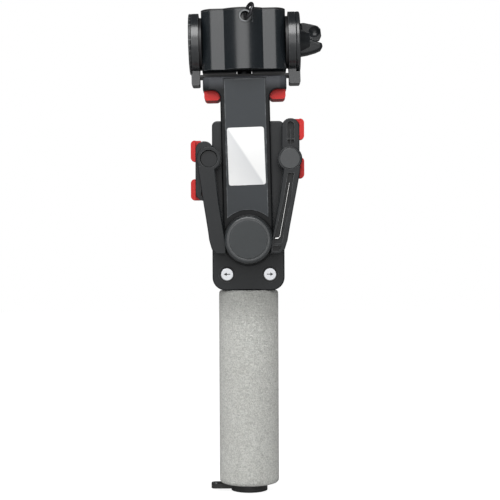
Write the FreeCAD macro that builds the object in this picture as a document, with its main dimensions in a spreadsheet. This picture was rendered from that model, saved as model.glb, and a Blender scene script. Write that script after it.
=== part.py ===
# Hand grip with a telescoping mast, folding cradle arms and a pan-tilt drag head.
# Millimetres, +Z up, +X to the right of the front face, -Y towards the viewer of the front face.
import FreeCAD, Part
import Sketcher
import os
import re

V = FreeCAD.Vector
doc = FreeCAD.newDocument("grip_head")

# ---------------------------------------------------------------- sizes
SIZES = [
    # grip
    ("foam_r", 17.7), ("foam_bottom", 4.6), ("foam_top", 119.4), ("tube_r", 13.0), ("tube_bore_r", 11.5),
    ("cap_r", 10.8), ("cap_plug_r", 11.4), ("cap_plug_top", 18.0), ("plug_bottom", 96.0),
    ("socket_r", 5.0), ("socket_hole_r", 2.6), ("socket_depth", 9.0),
    ("lug_reach", 22.7), ("lug_half", 4.6), ("lug_bottom", 1.3), ("lug_top", 3.9), ("lug_hole_r", 1.6),
    ("lug_hole_x", 19.9), ("lug_neck_r", 7.0),
    # housing
    ("case_half", 21.2), ("case_front", 13.0), ("case_back", 13.0), ("case_bottom", 119.4),
    ("case_top", 218.9), ("case_top_round", 3.0), ("case_bottom_round", 7.7), ("case_wall", 2.4),
    ("case_front_wall", 6.6), ("screw_x", 17.2), ("screw_low", 126.2), ("screw_high", 212.6),
    # buttons
    ("button_x", 12.6), ("button_z", 128.9), ("button_r", 3.85), ("bezel_r", 4.9), ("button_front", 14.3),
    ("button_travel", 1.5),
    # clamp knob and boss
    ("knob_z", 148.9), ("knob_r", 13.55), ("knob_back", 29.2), ("knob_front", 36.0), ("knob_face_r", 10.4),
    ("boss_r", 15.0), ("boss_front", 22.6), ("stud_r", 2.5), ("nut_r", 4.7),
    # mast
    ("mast_front", 16.9), ("mast_back", 13.1), ("stem_half", 14.5), ("shoulder_half", 24.6),
    ("shoulder_bottom", 236.9), ("shoulder_top", 244.9), ("panel_arc_r", 17.7), ("shoulder_back", 3.1),
    ("panel_half", 12.0), ("panel_groove", 0.6), ("gusset_r", 4.6), ("panel_depth", 0.9),
    ("lean", 1.15), ("arm_lean", 0.9),
    ("label_half", 10.8), ("label_half_tall", 16.9), ("label_z", 197.9), ("label_turn", 0.8),
    ("label_thick", 0.3), ("tab_in", 14.7), ("tab_out", 23.9), ("tab_bottom", 231.4),
    # arms
    ("arm_front", 28.9), ("arm_back", 22.9), ("arm_face", 1.5), ("pivot_x", 19.0), ("pivot_z", 147.2),
    ("hub_x", 23.3), ("hub_z", 195.6), ("hub_r", 7.1), ("pin_r", 1.9), ("wire_r", 0.55), ("arm_floor", 2.6),
    # pad bars
    ("bar_front", 22.6), ("bar_back", 17.6), ("bar_half", 5.1), ("bar_short", 10.6), ("pad_back", 20.2),
    ("bar_long", 23.8), ("pad_proud", 2.7), ("pad_tall", 12.2), ("pad_pitch", 22.4), ("pad_start", -11.05),
    # head
    ("pan_y", -6.9), ("axis_z", 265.5), ("bridge_low", 245.15), ("bridge_top", 246.6), ("bridge_half", 6.0),
    ("ear_in", 26.3), ("ear_out", 30.4), ("disc_r", 17.9), ("dial_out", 32.1), ("cover_out", 33.1),
    ("block_out_left", 31.1), ("block_out_right", 32.9), ("ear_block_low", 240.5), ("ear_block_top", 247.3),
    ("ear_block_half", 6.5), ("axle_r", 3.0), ("axle_left", 30.6), ("axle_right", 40.0), ("washer_r", 15.4),
    ("drum_half", 24.6), ("drum_low", 247.9), ("drum_top", 282.1), ("plate_top", 283.2), ("facet_y", -22.9),
    ("drum_back", 7.4), ("barrel_half", 11.3), ("barrel_r", 20.5), ("barrel_in", 17.1),
    ("drum_round", 7.0), ("under_r", 18.6),
    ("groove_r", 16.7), ("eyelet_z", 278.1), ("eyelet_x", 1.2), ("eyelet_r", 3.8), ("eyelet_hole_r", 2.8),
    ("ring_mid_r", 4.2), ("ring_wire_r", 1.0), ("ring_x", 3.4), ("ring_y", -28.14), ("ring_z", 280.6),
    ("ring_yaw", 24.0), ("ring_lean", 20.0),
]
sheet = doc.addObject("Spreadsheet::Sheet", "Sizes")
for row, (size_name, size) in enumerate(SIZES, start=1):
    sheet.set("A%d" % row, size_name)
    sheet.set("B%d" % row, str(size))
    sheet.setAlias("B%d" % row, size_name)
doc.recompute()
VALUES = dict(SIZES)
WORD = re.compile(r"\b(%s)\b" % "|".join(sorted(VALUES, key=len, reverse=True)))


# ---------------------------------------------------------------- helpers
def linked(expression):
    """The expression with each size name pointing at the spreadsheet."""
    return WORD.sub(r"Sizes.\1", str(expression))


def number(expression):
    """What an expression comes to now, for signs and for edge choice."""
    return float(sheet.evalExpression(linked(expression)))


def bind(item, **sizes):
    """Binds properties to expressions; at_x, at_y and at_z are the placement."""
    for prop, expression in sizes.items():
        path = {"at_x": "Placement.Base.x", "at_y": "Placement.Base.y",
                "at_z": "Placement.Base.z"}.get(prop, prop)
        item.setExpression(path, linked(expression))
    return item


def box(name, x0, x1, y0, y1, z0, z1):
    """A block between two bounds on each axis."""
    item = doc.addObject("Part::Box", name)
    return bind(item, at_x=x0, at_y=y0, at_z=z0, Length="(%s) - (%s)" % (x1, x0),
                Width="(%s) - (%s)" % (y1, y0), Height="(%s) - (%s)" % (z1, z0))


TURNS = {"x": (V(0, 1, 0), 90), "y": (V(1, 0, 0), -90), "z": (V(0, 0, 1), 0)}


def rod(name, axis, x, y, z, radius, length, tip=None):
    """A cylinder, or a cone with a tip radius, that starts at a point and runs along +axis."""
    item = doc.addObject("Part::Cylinder" if tip is None else "Part::Cone", name)
    item.Placement = FreeCAD.Placement(V(0, 0, 0), FreeCAD.Rotation(*TURNS[axis]))
    bind(item, at_x=x, at_y=y, at_z=z, Height=length)
    if tip is None:
        return bind(item, Radius=radius)
    return bind(item, Radius1=radius, Radius2=tip)


def outline(name, role, points, start, length):
    """A closed polygon sketched on an origin plane and padded: XY runs to +Z, XZ to -Y, YZ to +X."""
    body = doc.addObject("PartDesign::Body", name)
    sketch = body.newObject("Sketcher::SketchObject", name + "_sketch")
    plane = [feature for feature in body.Origin.OriginFeatures if feature.Role == role][0]
    sketch.AttachmentSupport = [(plane, "")]
    sketch.MapMode = "FlatFace"
    spots = [V(number(a), number(b), 0) for a, b in points]
    count = len(spots)
    for i in range(count):
        sketch.addGeometry(Part.LineSegment(spots[i], spots[(i + 1) % count]))
    for i in range(count):
        sketch.addConstraint(Sketcher.Constraint("Coincident", i, 2, (i + 1) % count, 1))
    for i, pair in enumerate(points):
        for kind, expression, value in (("DistanceX", pair[0], spots[i].x),
                                        ("DistanceY", pair[1], spots[i].y)):
            ends = (-1, 1, i, 1) if value >= 0 else (i, 1, -1, 1)
            place = sketch.addConstraint(Sketcher.Constraint(kind, *ends, abs(value)))
            signed = linked(expression) if value >= 0 else "-(%s)" % linked(expression)
            if value:
                sketch.setExpression("Constraints[%d]" % place, signed)
    pad = body.newObject("PartDesign::Pad", name + "_pad")
    pad.Profile = sketch
    pad.setExpression("Length", linked(length))
    body.Tip = pad
    bind(body, **{{"XY_Plane": "at_z", "XZ_Plane": "at_y", "YZ_Plane": "at_x"}[role]: start})
    return body


def cut(name, base, *tools):
    """The base less each tool in turn."""
    for i, tool in enumerate(tools):
        item = doc.addObject("Part::Cut", name if i == len(tools) - 1 else "%s_cut%d" % (name, i))
        item.Base, item.Tool = base, tool
        base = item
    return base


def fuse(name, *shapes):
    item = doc.addObject("Part::MultiFuse", name)
    item.Shapes = list(shapes)
    item.Refine = True
    return item


def together(name, *shapes):
    """Separate solids of one kind, kept as one group."""
    item = doc.addObject("Part::Compound", name)
    item.Links = list(shapes)
    return item


def mirrored(name, source):
    """The same shape on the other side of the X = 0 plane."""
    item = doc.addObject("Part::Mirroring", name)
    item.Source, item.Base, item.Normal = source, V(0, 0, 0), V(1, 0, 0)
    return item


def rounded(name, base, radius, axis, where=lambda mid: True):
    """Fillets the straight edges that run along an axis and whose middle passes the test."""
    doc.recompute()
    chosen = []
    for i, edge in enumerate(base.Shape.Edges, start=1):
        if edge.Curve.TypeId != "Part::GeomLine":
            continue
        along = edge.Vertexes[-1].Point - edge.Vertexes[0].Point
        if abs(getattr(along.normalize(), axis)) > 0.999 and where(edge.CenterOfMass):
            chosen.append((i, radius, radius))
    item = doc.addObject("Part::Fillet", name)
    item.Base, item.Edges = base, chosen
    return item


def eased(name, base, radius, where):
    """Fillets every edge whose middle passes the test."""
    doc.recompute()
    item = doc.addObject("Part::Fillet", name)
    item.Base = base
    item.Edges = [(i, radius, radius) for i, edge in enumerate(base.Shape.Edges, start=1)
                  if where(edge.CenterOfMass, edge)]
    return item


NODES = []


def node(name, item):
    item.Label = name
    NODES.append((name, item))
    return item


# ---------------------------------------------------------------- grip
sleeve = cut("sleeve", rod("sleeve_out", "z", 0, 0, "foam_bottom", "foam_r", "foam_top - foam_bottom"),
             rod("sleeve_in", "z", 0, 0, "foam_bottom - 1", "tube_r", "foam_top - foam_bottom + 2"))
node("grip_sleeve", eased("sleeve_soft", sleeve, 1.6, lambda mid, edge: edge.BoundBox.XLength > 34
                          and edge.BoundBox.ZLength < 0.1))
node("grip_tube", cut("tube", rod("tube_out", "z", 0, 0, "foam_bottom", "tube_r - 0.02",
                                  "foam_top - foam_bottom"),
                      rod("tube_in", "z", 0, 0, "foam_bottom - 1", "tube_bore_r",
                          "foam_top - foam_bottom + 2")))
node("tube_plug", rod("plug", "z", 0, 0, "plug_bottom", "tube_bore_r - 0.02", "foam_top - plug_bottom"))
end_cap = fuse("end_cap_solid", rod("cap_disc", "z", 0, 0, 0, "cap_r", "lug_bottom - 0.05"),
               rod("cap_neck", "z", 0, 0, 0, "lug_neck_r - 0.05", "foam_bottom"),
               rod("cap_plug", "z", 0, 0, "lug_top + 0.05", "cap_plug_r", "cap_plug_top - lug_top - 0.05"))
node("end_cap", cut("end_cap_bored", end_cap, rod("cap_bore", "z", 0, 0, -1, "socket_r", "cap_plug_top + 2")))
node("base_insert", cut("base_insert_solid", rod("base_insert_out", "z", 0, 0, 0, "socket_r - 0.01",
                                                 "socket_depth + 2"),
                        rod("base_insert_in", "z", 0, 0, -1, "socket_hole_r", "socket_depth + 1")))
lug_bar = box("lug_bar", "-lug_reach", 0, "-lug_half", "lug_half", "lug_bottom", "lug_top")
lug_round = rounded("lug_round", lug_bar, 2.6, "z", lambda mid: mid.x < -20)
lug = fuse("lug_solid", lug_round, rod("lug_disc", "z", 0, 0, "lug_bottom", "cap_r", "lug_top - lug_bottom"))
node("strap_lug", cut("lug_open", lug, rod("lug_neck", "z", 0, 0, 0, "lug_neck_r", 8),
                      rod("lug_hole", "z", "-lug_hole_x", 0, 0, "lug_hole_r + 0.6", 8)))
node("lug_grommet", cut("lug_grommet_solid",
                        rod("grommet_out", "z", "-lug_hole_x", 0, "lug_bottom", "lug_hole_r + 0.58",
                            "lug_top - lug_bottom + 0.25"),
                        rod("grommet_in", "z", "-lug_hole_x", 0, 0, "lug_hole_r", 8)))

# ---------------------------------------------------------------- housing
def case_block(name, front, back):
    block = box(name, "-case_half", "case_half", front, back, "case_bottom", "case_top")
    top = rounded(name + "_top", block, VALUES["case_top_round"], "y", lambda mid: mid.z > 200)
    return rounded(name + "_low", top, VALUES["case_bottom_round"], "y", lambda mid: mid.z < 140)


def pair(name, make):
    """The same cutter or pin on both sides, as one shape."""
    one = make(name + "_right")
    return together(name, one, mirrored(name + "_left", one))


front_block = case_block("front_block", "-case_front", 0)
front_soft = eased("front_soft", front_block, 0.8, lambda mid, edge: abs(mid.y + VALUES["case_front"]) < 0.01)
cavity = box("front_cavity", "case_wall - case_half", "case_half - case_wall",
             "case_front_wall - case_front", 1,
             "case_bottom + 8", "case_top - case_wall")
stud_hole = rod("stud_hole", "y", 0, "-case_front - 1", "knob_z", "stud_r + 0.2", 10)
button_well = pair("button_well", lambda name: rod(name, "y", "button_x", "-case_front - 1", "button_z",
                                                   "button_r + 0.08", 5.4))
bezel_seat = pair("bezel_seat", lambda name: rod(name, "y", "button_x", "-case_front - 1", "button_z",
                                                 "bezel_r + 0.02", 2.0))
stem_hole = pair("stem_hole", lambda name: rod(name, "y", "button_x", "-case_front - 1", "button_z", 1.7, 15))
stem_pocket = pair("stem_pocket", lambda name: rod(name, "y", "button_x", "-5.6", "button_z", 3.2, 6))
post_holes = pair("post_holes", lambda name: rod(name, "y", "pivot_x", "-case_front - 1", "pivot_z",
                                                 "pin_r", 6))
screw_holes = [rod("pilot_%d" % i, "y", "%s screw_x" % sign, "-6", level, 1.0, 7)
               for i, (sign, level) in enumerate([("-", "screw_low"), ("+", "screw_low"),
                                                  ("-", "screw_high"), ("+", "screw_high")])]
posts = [rod("post_%d" % i, "y", "%s screw_x" % sign, "-7", level, 3.0, 7)
         for i, (sign, level) in enumerate([("-", "screw_low"), ("+", "screw_low"),
                                            ("-", "screw_high"), ("+", "screw_high")])]
front_open = cut("front_open", front_soft, cavity)
front_posts = fuse("front_posts", front_open, *posts)
node("housing_front", cut("housing_front_solid", front_posts, stud_hole, post_holes, button_well, bezel_seat,
                          stem_hole, stem_pocket, *screw_holes))
back_block = case_block("back_block", 0, "case_back")
back_soft = eased("back_soft", back_block, 2.4, lambda mid, edge: abs(mid.y - VALUES["case_back"]) < 0.01)
back_cavity = box("back_cavity", "case_wall - case_half", "case_half - case_wall", -1,
                  "case_back - case_wall",
                  "case_bottom + 8", "case_top - case_wall")
back_posts = [rod("back_post_%d" % i, "y", "%s screw_x" % sign, 0, level, 3.4, 11)
              for i, (sign, level) in enumerate([("-", "screw_low"), ("+", "screw_low"),
                                                 ("-", "screw_high"), ("+", "screw_high")])]
back_holes = [rod("back_hole_%d" % i, "y", "%s screw_x" % sign, -1, level, 1.1, 20)
              for i, (sign, level) in enumerate([("-", "screw_low"), ("+", "screw_low"),
                                                 ("-", "screw_high"), ("+", "screw_high")])]
back_sinks = [rod("back_sink_%d" % i, "y", "%s screw_x" % sign, "case_back - 3.2", level, 2.1, 6)
              for i, (sign, level) in enumerate([("-", "screw_low"), ("+", "screw_low"),
                                                 ("-", "screw_high"), ("+", "screw_high")])]
node("housing_back", cut("housing_back_solid", fuse("back_filled", cut("back_open", back_soft, back_cavity),
                                                    *back_posts), *back_holes, *back_sinks))
case_screws = []
for i, (sign, level) in enumerate([("-", "screw_low"), ("+", "screw_low"), ("-", "screw_high"),
                                   ("+", "screw_high")]):
    shank = rod("case_shank_%d" % i, "y", "%s screw_x" % sign, "-4.5", level, 0.98, "case_back + 2")
    head = rod("case_head_%d" % i, "y", "%s screw_x" % sign, "case_back - 3.18", level, 2.0, 1.8)
    recess = box("case_recess_%d" % i, "%s screw_x - 0.4" % sign, "%s screw_x + 0.4" % sign,
                 "case_back - 2.2",
                 "case_back", "%s - 1.4" % level, "%s + 1.4" % level)
    case_screws.append(cut("case_screw_%d" % i, fuse("case_screw_body_%d" % i, shank, head), recess))
node("housing_screws", together("housing_screws_all", *case_screws))

# ---------------------------------------------------------------- release buttons
bezel = cut("bezel", rod("bezel_out", "y", "button_x", "-case_front - 0.3", "button_z", "bezel_r", 1.29),
            rod("bezel_in", "y", "button_x", "-case_front - 1", "button_z", "button_r + 0.1", 5))
node("button_bezels", together("bezels", bezel, mirrored("bezel_left", bezel)))
for side, sign in (("left", "-"), ("right", "+")):
    x = "%s button_x" % sign
    cap = rod(side + "_button_cap", "y", x, "-button_front", "button_z", "button_r", 3.6)
    cap_soft = eased(side + "_button_soft", cap, 0.5, lambda mid,
                     edge: abs(mid.y + VALUES["button_front"]) < 0.01)
    stem = rod(side + "_button_stem", "y", x, "-button_front + 3", "button_z", 1.6, 9.2)
    snap = rod(side + "_button_snap", "y", x, "-5.4", "button_z", 2.4, 1.2)
    node(side + "_button", fuse(side + "_button_solid", cap_soft, stem, snap))

# ---------------------------------------------------------------- arm pins, clamp stud, nut and knob
pins = []
for side, sign, tip in (("left", "-", "-arm_front + arm_face + 0.1"),
                        ("right", "", "-arm_back - arm_floor + 0.3")):
    pins.append(rod(side + "_arm_pin", "y", sign + "pivot_x", tip, "pivot_z", "pin_r - 0.02",
                    "-case_front + 4.9 - (%s)" % tip))
node("arm_pins", together("arm_pins_all", *pins))
node("clamp_stud", rod("stud", "y", 0, "-knob_front + 2.4", "knob_z", "stud_r - 0.02", "knob_front - 3.6"))
nut = doc.addObject("Part::Prism", "nut_prism")
nut.Polygon = 6
nut.Placement = FreeCAD.Placement(V(0, 0, 0), FreeCAD.Rotation(V(1, 0, 0), -90))
bind(nut, Circumradius="nut_r", Height=4, at_y="case_front_wall - case_front", at_z="knob_z")
node("clamp_nut", cut("clamp_nut_solid", nut, rod("nut_bore", "y", 0, "-case_front", "knob_z",
                                                  "stud_r + 0.01", 20)))
knob = rod("knob_disc", "y", 0, "-knob_front + 0.5", "knob_z", "knob_r", "knob_front - knob_back - 0.5")
knob_soft = eased("knob_soft", knob, 1.5, lambda mid, edge: mid.y < -35 and edge.BoundBox.XLength > 20)
knob_dish = rod("knob_dish", "y", 0, "-knob_front - 1", "knob_z", "knob_face_r + 0.8", 3.2)
knob_neck = rod("knob_neck", "y", 0, "-knob_back - 0.1", "knob_z", 5.2, "knob_back - boss_front + 0.05")
knob_bore = rod("knob_bore", "y", 0, -50, "knob_z", "stud_r", 50)
notches = [rod("knob_notch_%02d" % i, "y", "(knob_r + 0.25) * cos(%g deg)" % (7.5 * i), "-knob_front + 2.6",
               "knob_z + (knob_r + 0.25) * sin(%g deg)" % (7.5 * i), 0.5, 5) for i in range(48)]
node("clamp_knob", cut("clamp_knob_solid", fuse("knob_body", knob_soft, knob_neck), knob_dish,
                       together("knob_notches", *notches), knob_bore))
cap_disc = rod("knob_cap_disc", "y", 0, "-knob_front", "knob_z", "knob_face_r + 0.78", 2.18)
cap_step = cut("knob_cap_step", rod("cap_step_out", "y", 0, "-knob_front - 1", "knob_z", 20, 1.5),
               rod("cap_step_in", "y", 0, "-knob_front - 2", "knob_z", "knob_face_r", 4))
node("knob_cap", cut("knob_cap_solid", cap_disc, cap_step))

# ---------------------------------------------------------------- mast
def leaned(name, item, x, z, turn):
    """The item turned about the Y direction through (x, z); a positive turn is clockwise from the front."""
    holder = doc.addObject("Part::Compound", name)
    holder.Links = [item]
    spin = FreeCAD.Rotation(V(0, 1, 0), turn)
    holder.Placement = FreeCAD.Placement(V(0, 0, 0), spin, V(x, 0, z))
    return holder


def upper(name, item):
    """A node of the mast or the head: all of them lean together about the clamp stud."""
    return node(name, leaned(name + "_lean", item, 0, VALUES["knob_z"], -VALUES["lean"]))


stem = box("stem", "-stem_half", "stem_half", "-mast_front", "-mast_back", "knob_z", "shoulder_top")
shoulder = rounded("shoulder", box("shoulder_box", "-shoulder_half", "shoulder_half", "-mast_front",
                                   "shoulder_back", "shoulder_bottom", "shoulder_top"), 4.6, "z")
gusset = pair("gusset", lambda name: cut(name, box(name + "_box", "stem_half - 1", "stem_half + gusset_r",
                                                   "-mast_front",
                                                   "-mast_back", "shoulder_bottom - gusset_r",
                                                   "shoulder_bottom + 1"),
                                         rod(name + "_arc", "y", "stem_half + gusset_r", -30,
                                             "shoulder_bottom - gusset_r", "gusset_r", 30)))
mast_tee = fuse("mast_tee", stem, shoulder, gusset.Links[0], gusset.Links[1])
mast_soft = eased("mast_soft", mast_tee, 0.9, lambda mid,
                  edge: abs(edge.BoundBox.YMin + VALUES["mast_front"]) < 0.01
                  and edge.BoundBox.YLength < 0.01 and mid.z > 150)
spine = box("spine", -9, 9, "-mast_back - 1", -5, 225, "shoulder_bottom + 1")
boss = eased("boss_soft", rod("boss_disc", "y", 0, "-boss_front", "knob_z", "boss_r",
                              "boss_front - mast_back"), 0.7,
             lambda mid, edge: mid.y < -22 and edge.BoundBox.XLength > 20)
panel_seat = cut("panel_seat", box("panel_seat_box", "-panel_half - panel_groove",
                                   "panel_half + panel_groove", -30,
                                   "-mast_front + panel_depth", 152, "shoulder_top - 1.0"),
                 rod("panel_seat_arc", "y", 0, -40, "knob_z", "panel_arc_r - panel_groove", 60))
mast_plate = cut("mast_plate", mast_soft, panel_seat)
pan_hole = rod("pan_hole", "z", 0, "pan_y", 215, 2.7, 50)
nut_pocket = rod("nut_pocket", "z", 0, "pan_y", 220, 4.75, "shoulder_bottom - 220")
upper("mast", cut("mast_solid", fuse("mast_all", mast_plate, spine, boss), pan_hole, nut_pocket,
                  rod("boss_bore", "y", 0, -40, "knob_z", "stud_r + 0.2", 40)))
panel = box("panel_plate", "-panel_half", "panel_half", "-mast_front - 0.05", "-mast_front + panel_depth",
            152,
            "shoulder_top - 1.0 - panel_groove")
upper("mast_panel", cut("panel_solid", panel, rod("panel_arc", "y", 0, -40, "knob_z", "panel_arc_r", 60)))
label = box("label_box", "-label_half", "label_half", "-mast_front - 0.05 - label_thick",
            "-mast_front - 0.05", "-label_half_tall",
            "label_half_tall")
label_round = rounded("label_round", label, 1.4, "y")
label_place = leaned("label_place", label_round, 0, 0, -VALUES["label_turn"])
label_up = doc.addObject("Part::Compound", "label_up")
label_up.Links = [label_place]
upper("label_plate", bind(label_up, at_z="label_z"))
tab = rounded("tab", box("tab_box", "tab_in", "tab_out", -13.0, 1.2, "tab_bottom", "shoulder_bottom"), 2.0,
              "y",
              lambda mid: mid.z < 234)
upper("shoulder_pad_right", tab)
upper("shoulder_pad_left", mirrored("tab_left", tab))

# ---------------------------------------------------------------- cradle arms
ARM = [("hub_x + hub_r - 0.9", "hub_z - 4.2"), (29.2, 188.0), (26.5, 172.5), (24.9, 163.3), (23.4, 154.6),
       (22.5, 148.7), (21.0, 143.6), (18.4, 140.9), (12.6, 140.9), (12.9, 146.5), (14.4, 154.6),
       (17.2, 170.0),
       (19.9, 190.5)]
CHANNEL = [(25.7, 187.4), (23.9, 170.7), (20.3, 153.5), (19.3, 146.7), (13.9, 146.7), (15.6, 153.5),
           (19.6, 170.7),
           (22.3, 187.4)]
HOLLOW = [(27.3, 186.6), (24.9, 171.9), (23.4, 163.3), (22.0, 153.5), (16.0, 153.5), (19.0, 172.0),
          (21.0, 186.6)]
POCKET = [(19.0, 145.5), (17.6, 142.4), (14.0, 142.4), (14.2, 145.5)]


def arm_solid(name, open_front):
    """An arm on the right: a channel that opens to the front or to the back, with a round hub on top."""
    blade = outline(name + "_blade", "XZ_Plane", ARM, "-arm_back", "arm_front - arm_back")
    hub = rod(name + "_hub", "y", "hub_x", "-arm_front", "hub_z", "hub_r", "arm_front - arm_back")
    whole = eased(name + "_soft", fuse(name + "_whole", blade, hub), 0.6,
                  lambda mid, edge: abs(edge.BoundBox.YMax + VALUES["arm_front"]) < 0.01)
    if open_front:
        hollows = [outline(name + "_" + part, "XZ_Plane", points, "-arm_back - arm_floor", 10)
                   for part, points in (("channel", CHANNEL), ("pocket", POCKET))]
    else:
        hollows = [outline(name + "_hollow", "XZ_Plane", HOLLOW, "-arm_back + 1",
                           "arm_front - arm_back + 1 - arm_face")]
    depth = "-arm_back - arm_floor + 0.25" if open_front else "-arm_front + arm_face"
    bore = rod(name + "_bore", "y", "pivot_x", depth, "pivot_z", "pin_r + 0.03", 20)
    pin = rod(name + "_pin_bore", "y", "hub_x", "-arm_front + 4.0", "hub_z", "pin_r", 20)
    dish = rod(name + "_dish", "y", "hub_x", "-arm_front - 1", "hub_z",
               6.0 if open_front else 5.1, 2.4 if open_front else 4.3)
    return cut(name + "_cut", whole, *hollows, bore, pin, dish)


def arm_node(name, item, side):
    """A node that rides on an arm: it leans with the arm about that arm's pin."""
    x = VALUES["pivot_x"] * (1 if side == "right" else -1)
    return node(name, leaned(name + "_lean", item, x, VALUES["pivot_z"], VALUES["arm_lean"]))


arm_node("right_arm", arm_solid("right_arm_shape", True), "right")
arm_node("left_arm", mirrored("left_arm_shape", arm_solid("left_arm_source", False)), "left")
hub_cap = rod("hub_cap", "y", "hub_x", "-arm_front - 0.3", "hub_z", 5.9, 1.65)
arm_node("right_hub_cap", eased("hub_cap_soft", hub_cap, 0.4, lambda mid, edge: mid.y < -29), "right")
left_cap = rod("left_cap", "y", "-hub_x", "-arm_front + 1.9", "hub_z", 5.0, 1.38)
arm_node("left_hub_cap", eased("left_cap_soft", left_cap, 0.4, lambda mid, edge: mid.y < -26.9), "left")
bar_pin = rod("bar_pin", "y", "hub_x", "-arm_front + 4.02", "hub_z", "pin_r - 0.02",
              "arm_front - 4.02 - bar_back - 0.1")
arm_node("right_bar_pin", bar_pin, "right")
arm_node("left_bar_pin", mirrored("bar_pin_left", bar_pin), "left")
WIRE = [(23.2, 181.5), (18.2, 151.0), (17.2, 149.75), (15.3, 149.6)]


def wire_solid(name, y, path):
    """A bent steel wire that lies along the arm's channel."""
    pieces = []
    for i, (low, high) in enumerate(zip(path, path[1:])):
        run = doc.addObject("Part::Cylinder", "%s_run%d" % (name, i))
        way = V(high[0] - low[0], 0, high[1] - low[1])
        run.Placement = FreeCAD.Placement(V(low[0], y, low[1]), FreeCAD.Rotation(V(0, 0, 1), way))
        bind(run, Radius="wire_r", Height=way.Length)
        pieces.append(run)
    for i, (x, z) in enumerate(path):
        bend = doc.addObject("Part::Sphere", "%s_bend%d" % (name, i))
        bind(bend, Radius="wire_r", at_x=x, at_y=y, at_z=z)
        pieces.append(bend)
    return fuse(name, *pieces)


LEFT_WIRE = [(24.6, 182.5), (22.4, 166.0), (20.6, 155.2)]
arm_node("right_wire", wire_solid("right_wire_solid", -26.1, WIRE), "right")
arm_node("left_wire", mirrored("left_wire_solid", wire_solid("left_wire_source", -24.6, LEFT_WIRE)), "left")

# ---------------------------------------------------------------- pad bars and rubber pads
def hub_place(side):
    """Where the hub's centre stands, in X and Z, once the arm on that side (+1 or -1) leans about its pin."""
    arm = V(side * (VALUES["hub_x"] - VALUES["pivot_x"]), 0, VALUES["hub_z"] - VALUES["pivot_z"])
    turned = FreeCAD.Rotation(V(0, 1, 0), VALUES["arm_lean"]).multVec(arm)
    return side * turned.x + VALUES["pivot_x"], turned.z + VALUES["pivot_z"]


def bar_solid(name, up, bar_x, hub):
    """A pad bar on the right whose long end points up or down, and its two pads."""
    low, high = ("bar_short", "bar_long") if up else ("bar_long", "bar_short")
    way = 1 if up else -1
    blade = rounded(name + "_round", box(name + "_blade", "%g - bar_half" % bar_x, "%g + bar_half" % bar_x,
                                         "-bar_front",
                                         "-bar_back", "hub_z - %s" % low, "hub_z + %s" % high), 4.9, "y")
    blade_soft = eased(name + "_soft", blade, 0.5, lambda mid,
                       edge: abs(edge.BoundBox.YMax + VALUES["bar_front"]) < 0.01)
    slot = rounded(name + "_slot", box(name + "_slot_box", bar_x - 2.0, bar_x + 2.0, "-bar_front - 1",
                                       "-bar_front + 3.2",
                                       *(("hub_z + 8.6", "hub_z + 22.0") if up else ("hub_z - 22.0",
                                               "hub_z - 8.6"))),
                   1.9, "y")
    rib = box(name + "_rib", bar_x - 0.3, bar_x + 0.3, "-bar_front + 0.6", "-bar_front + 3.3",
              *(("hub_z + 8.2", "hub_z + 17.4") if up else ("hub_z - 17.4", "hub_z - 8.2")))
    cross = box(name + "_cross", bar_x - 3.2, bar_x + 3.2, "-bar_front + 0.3", "-bar_front + 3.3",
                *(("hub_z + 11.4", "hub_z + 12.2") if up else ("hub_z - 12.2", "hub_z - 11.4")))
    seats = []
    pads = []
    for i in range(2):
        z = "hub_z + %d * (pad_start + %d * pad_pitch)" % (way, i)
        z0, z1 = (z, z + " + pad_tall") if up else (z + " - pad_tall", z)
        seats.append(box("%s_seat_%d" % (name, i), "%g + 2.1" % bar_x, "%g + 9" % bar_x, "-pad_back - 0.02",
                         "-bar_back + 1",
                         z0 + " - 0.02", z1 + " + 0.02"))
        tongue = box("%s_tongue_%d" % (name, i), "%g + 2.12" % bar_x, "%g + bar_half + 1" % bar_x,
                     "-pad_back",
                     "-bar_back", z0, z1)
        outer = box("%s_outer_%d" % (name, i), "%g + bar_half + 0.02" % bar_x,
                    "%g + bar_half + pad_proud" % bar_x,
                    "-bar_front + 0.3", "-bar_back", z0, z1)
        pad = rounded("%s_pad_%d" % (name, i), fuse("%s_pad_body_%d" % (name, i), tongue, outer), 2.3, "y",
                      lambda mid: mid.x > bar_x + VALUES["bar_half"] + 2)
        pads.append(pad)
    pin = rod(name + "_pin_bore", "y", hub[0], -30, hub[1], "pin_r + 0.03", 30)
    ribbed = fuse(name + "_ribbed", cut(name + "_open", blade_soft, slot), rib, cross)
    return cut(name + "_cut", ribbed, *seats, pin), together(name + "_pads", *pads)


right_bar, right_pads = bar_solid("right_bar_shape", True, 24.75, hub_place(1))
node("right_bar", right_bar)
node("right_pads", right_pads)
left_bar, left_pads = bar_solid("left_bar_source", False, 25.4, hub_place(-1))
node("left_bar", mirrored("left_bar_shape", left_bar))
node("left_pads", mirrored("left_pads_shape", left_pads))

# ---------------------------------------------------------------- pan joint and yoke
upper("pan_washer", cut("pan_washer_solid", rod("pan_washer_out", "z", 0, "pan_y", "shoulder_top", 5.8,
                                               "bridge_low - shoulder_top"),
                       rod("pan_washer_in", "z", 0, "pan_y", 230, 2.7, 30)))
bridge = box("bridge", "-ear_in", "ear_in", "pan_y - bridge_half", "pan_y + bridge_half", "bridge_low",
             "bridge_top")
upper("yoke_bridge", cut("bridge_solid", bridge, rod("bridge_bore", "z", 0, "pan_y", 230, 2.5, 30)))
pan_shank = rod("pan_shank", "z", 0, "pan_y", "shoulder_bottom - 3.4", 2.48,
                "bridge_top - shoulder_bottom + 3.5")
pan_head = rod("pan_head", "z", 0, "pan_y", "bridge_top", 4.3, 1.9)
pan_slot = box("pan_slot", -0.5, 0.5, "pan_y - 3", "pan_y + 3", "bridge_top + 1.4", "bridge_top + 3")
upper("pan_bolt", cut("pan_bolt_solid", fuse("pan_bolt_body", pan_shank, pan_head), pan_slot))
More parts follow.
